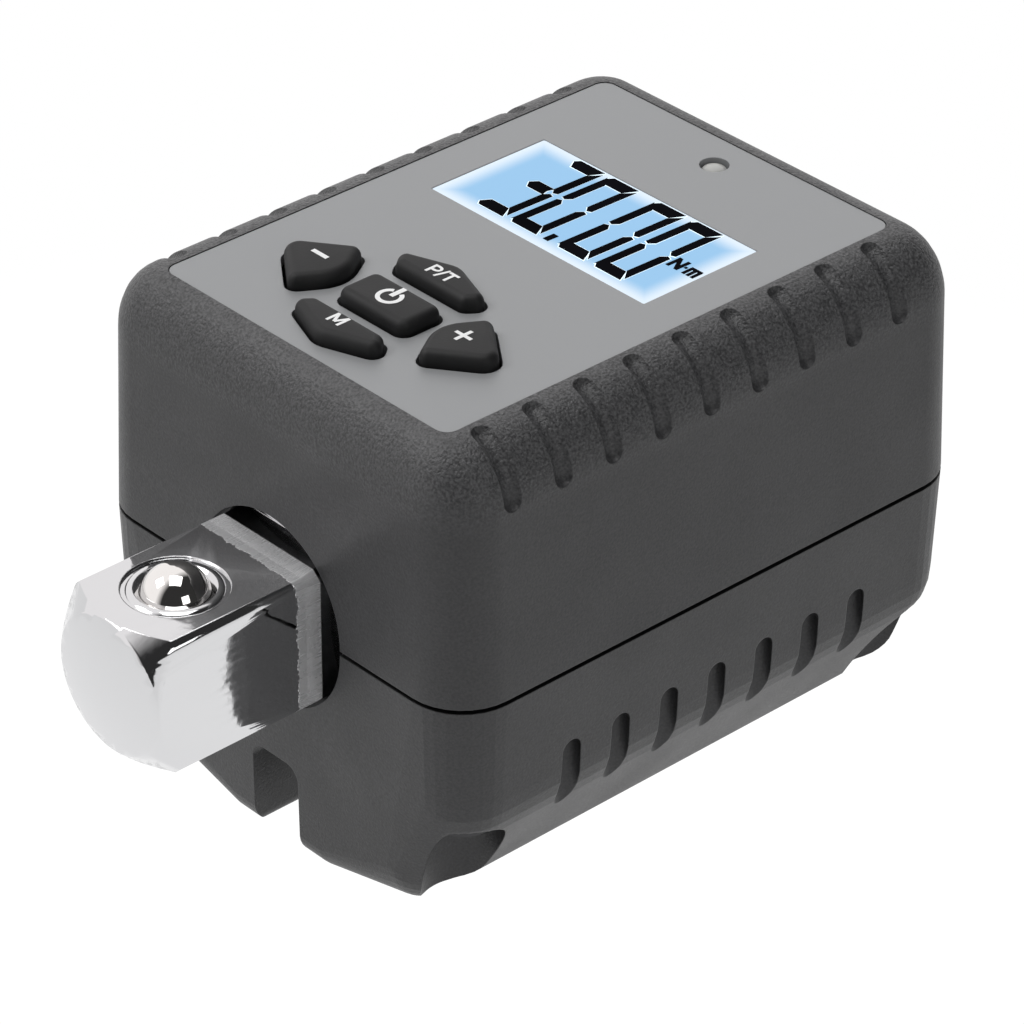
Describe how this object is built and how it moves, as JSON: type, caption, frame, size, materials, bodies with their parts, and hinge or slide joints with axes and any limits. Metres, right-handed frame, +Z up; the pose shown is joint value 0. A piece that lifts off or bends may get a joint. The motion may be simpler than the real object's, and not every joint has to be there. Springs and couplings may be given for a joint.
{
  "type": "digital torque adapter",
  "caption": "Digital torque adapter: gauged steel shaft with square drive and square socket in a plastic housing with display, rubber keys and battery pods.",
  "frame": {"origin": "on the surface that the object stands on, under the middle of its overall box", "axes": "+Z up out of the faceplate, +Y along the shaft from the male square to the female square, +X to the plus key's side"},
  "size_m": [0.0462, 0.0763, 0.0483],
  "materials": {
    "housing": "fine spark-eroded texture",
    "door_plastic": "fine spark-eroded texture",
    "faceplate": "satin, fine grain",
    "display_window": "clear and lit from behind",
    "display_glass": "polished",
    "backlight": "diffusing",
    "contact_rubber": "matte",
    "lamp": "diffusing",
    "key_rubber": "satin",
    "dome_steel": "bright",
    "board": "solder mask",
    "components": "matte",
    "screw_steel": "zinc plated",
    "shaft_steel": "polished chrome plate",
    "ball_steel": "polished",
    "spring_steel": "drawn wire",
    "gauge_foil": "polyimide film",
    "cell_wrap": "plain sleeve",
    "contact_metal": "nickel plated",
    "lead_sleeve": "silicone sleeve"
  },
  "bodies": {
    "housing": {"upper_case": "housing", "lower_case": "housing", "face_panel": "faceplate", "lcd_window": "display_window", "lcd_glass": "display_glass", "lcd_backlight": "backlight", "lcd_connector_strips": "contact_rubber", "status_led": "lamp", "keypad_mat": "key_rubber", "dome_contacts": "dome_steel", "main_board": "board", "board_parts": "components", "buzzer": "components", "board_screws": "screw_steel", "torque_shaft": "shaft_steel", "detent_spring": "spring_steel", "strain_gauges": "gauge_foil", "gauge_flex": "gauge_foil", "battery_left": "cell_wrap", "battery_right": "cell_wrap", "battery_bridge": "contact_metal", "battery_contacts": "contact_metal", "battery_leads": "lead_sleeve", "case_screws": "screw_steel"},
    "key_minus": {"key_minus": "key_rubber"},
    "key_plus": {"key_plus": "key_rubber"},
    "key_power": {"key_power": "key_rubber"},
    "key_mode": {"key_mode": "key_rubber"},
    "key_peak": {"key_peak": "key_rubber"},
    "detent_ball": {"detent_ball": "ball_steel"},
    "battery_door_left": {"battery_door_left": "door_plastic"},
    "battery_door_right": {"battery_door_right": "door_plastic"}
  },
  "joints": [
    {"name": "key_minus_press", "type": "slide", "parent": "housing", "child": "key_minus", "axis": [0, 0, -1], "range_m": [0, 0.0009], "stiffness_N_per_m": 1500},
    {"name": "key_plus_press", "type": "slide", "parent": "housing", "child": "key_plus", "axis": [0, 0, -1], "range_m": [0, 0.0009], "stiffness_N_per_m": 1500},
    {"name": "key_power_press", "type": "slide", "parent": "housing", "child": "key_power", "axis": [0, 0, -1], "range_m": [0, 0.0009], "stiffness_N_per_m": 1500},
    {"name": "key_mode_press", "type": "slide", "parent": "housing", "child": "key_mode", "axis": [0, 0, -1], "range_m": [0, 0.0009], "stiffness_N_per_m": 1500},
    {"name": "key_peak_press", "type": "slide", "parent": "housing", "child": "key_peak", "axis": [0, 0, -1], "range_m": [0, 0.0009], "stiffness_N_per_m": 1500},
    {"name": "detent_press", "type": "slide", "parent": "housing", "child": "detent_ball", "axis": [0, 0, -1], "range_m": [0, 0.002], "stiffness_N_per_m": 2500, "deforming": ["detent_spring"]},
    {"name": "battery_door_left_lift", "type": "slide", "parent": "housing", "child": "battery_door_left", "axis": [0, 0, -1], "range_m": [0, 0.012]},
    {"name": "battery_door_right_lift", "type": "slide", "parent": "housing", "child": "battery_door_right", "axis": [0, 0, -1], "range_m": [0, 0.012]}
  ]
}
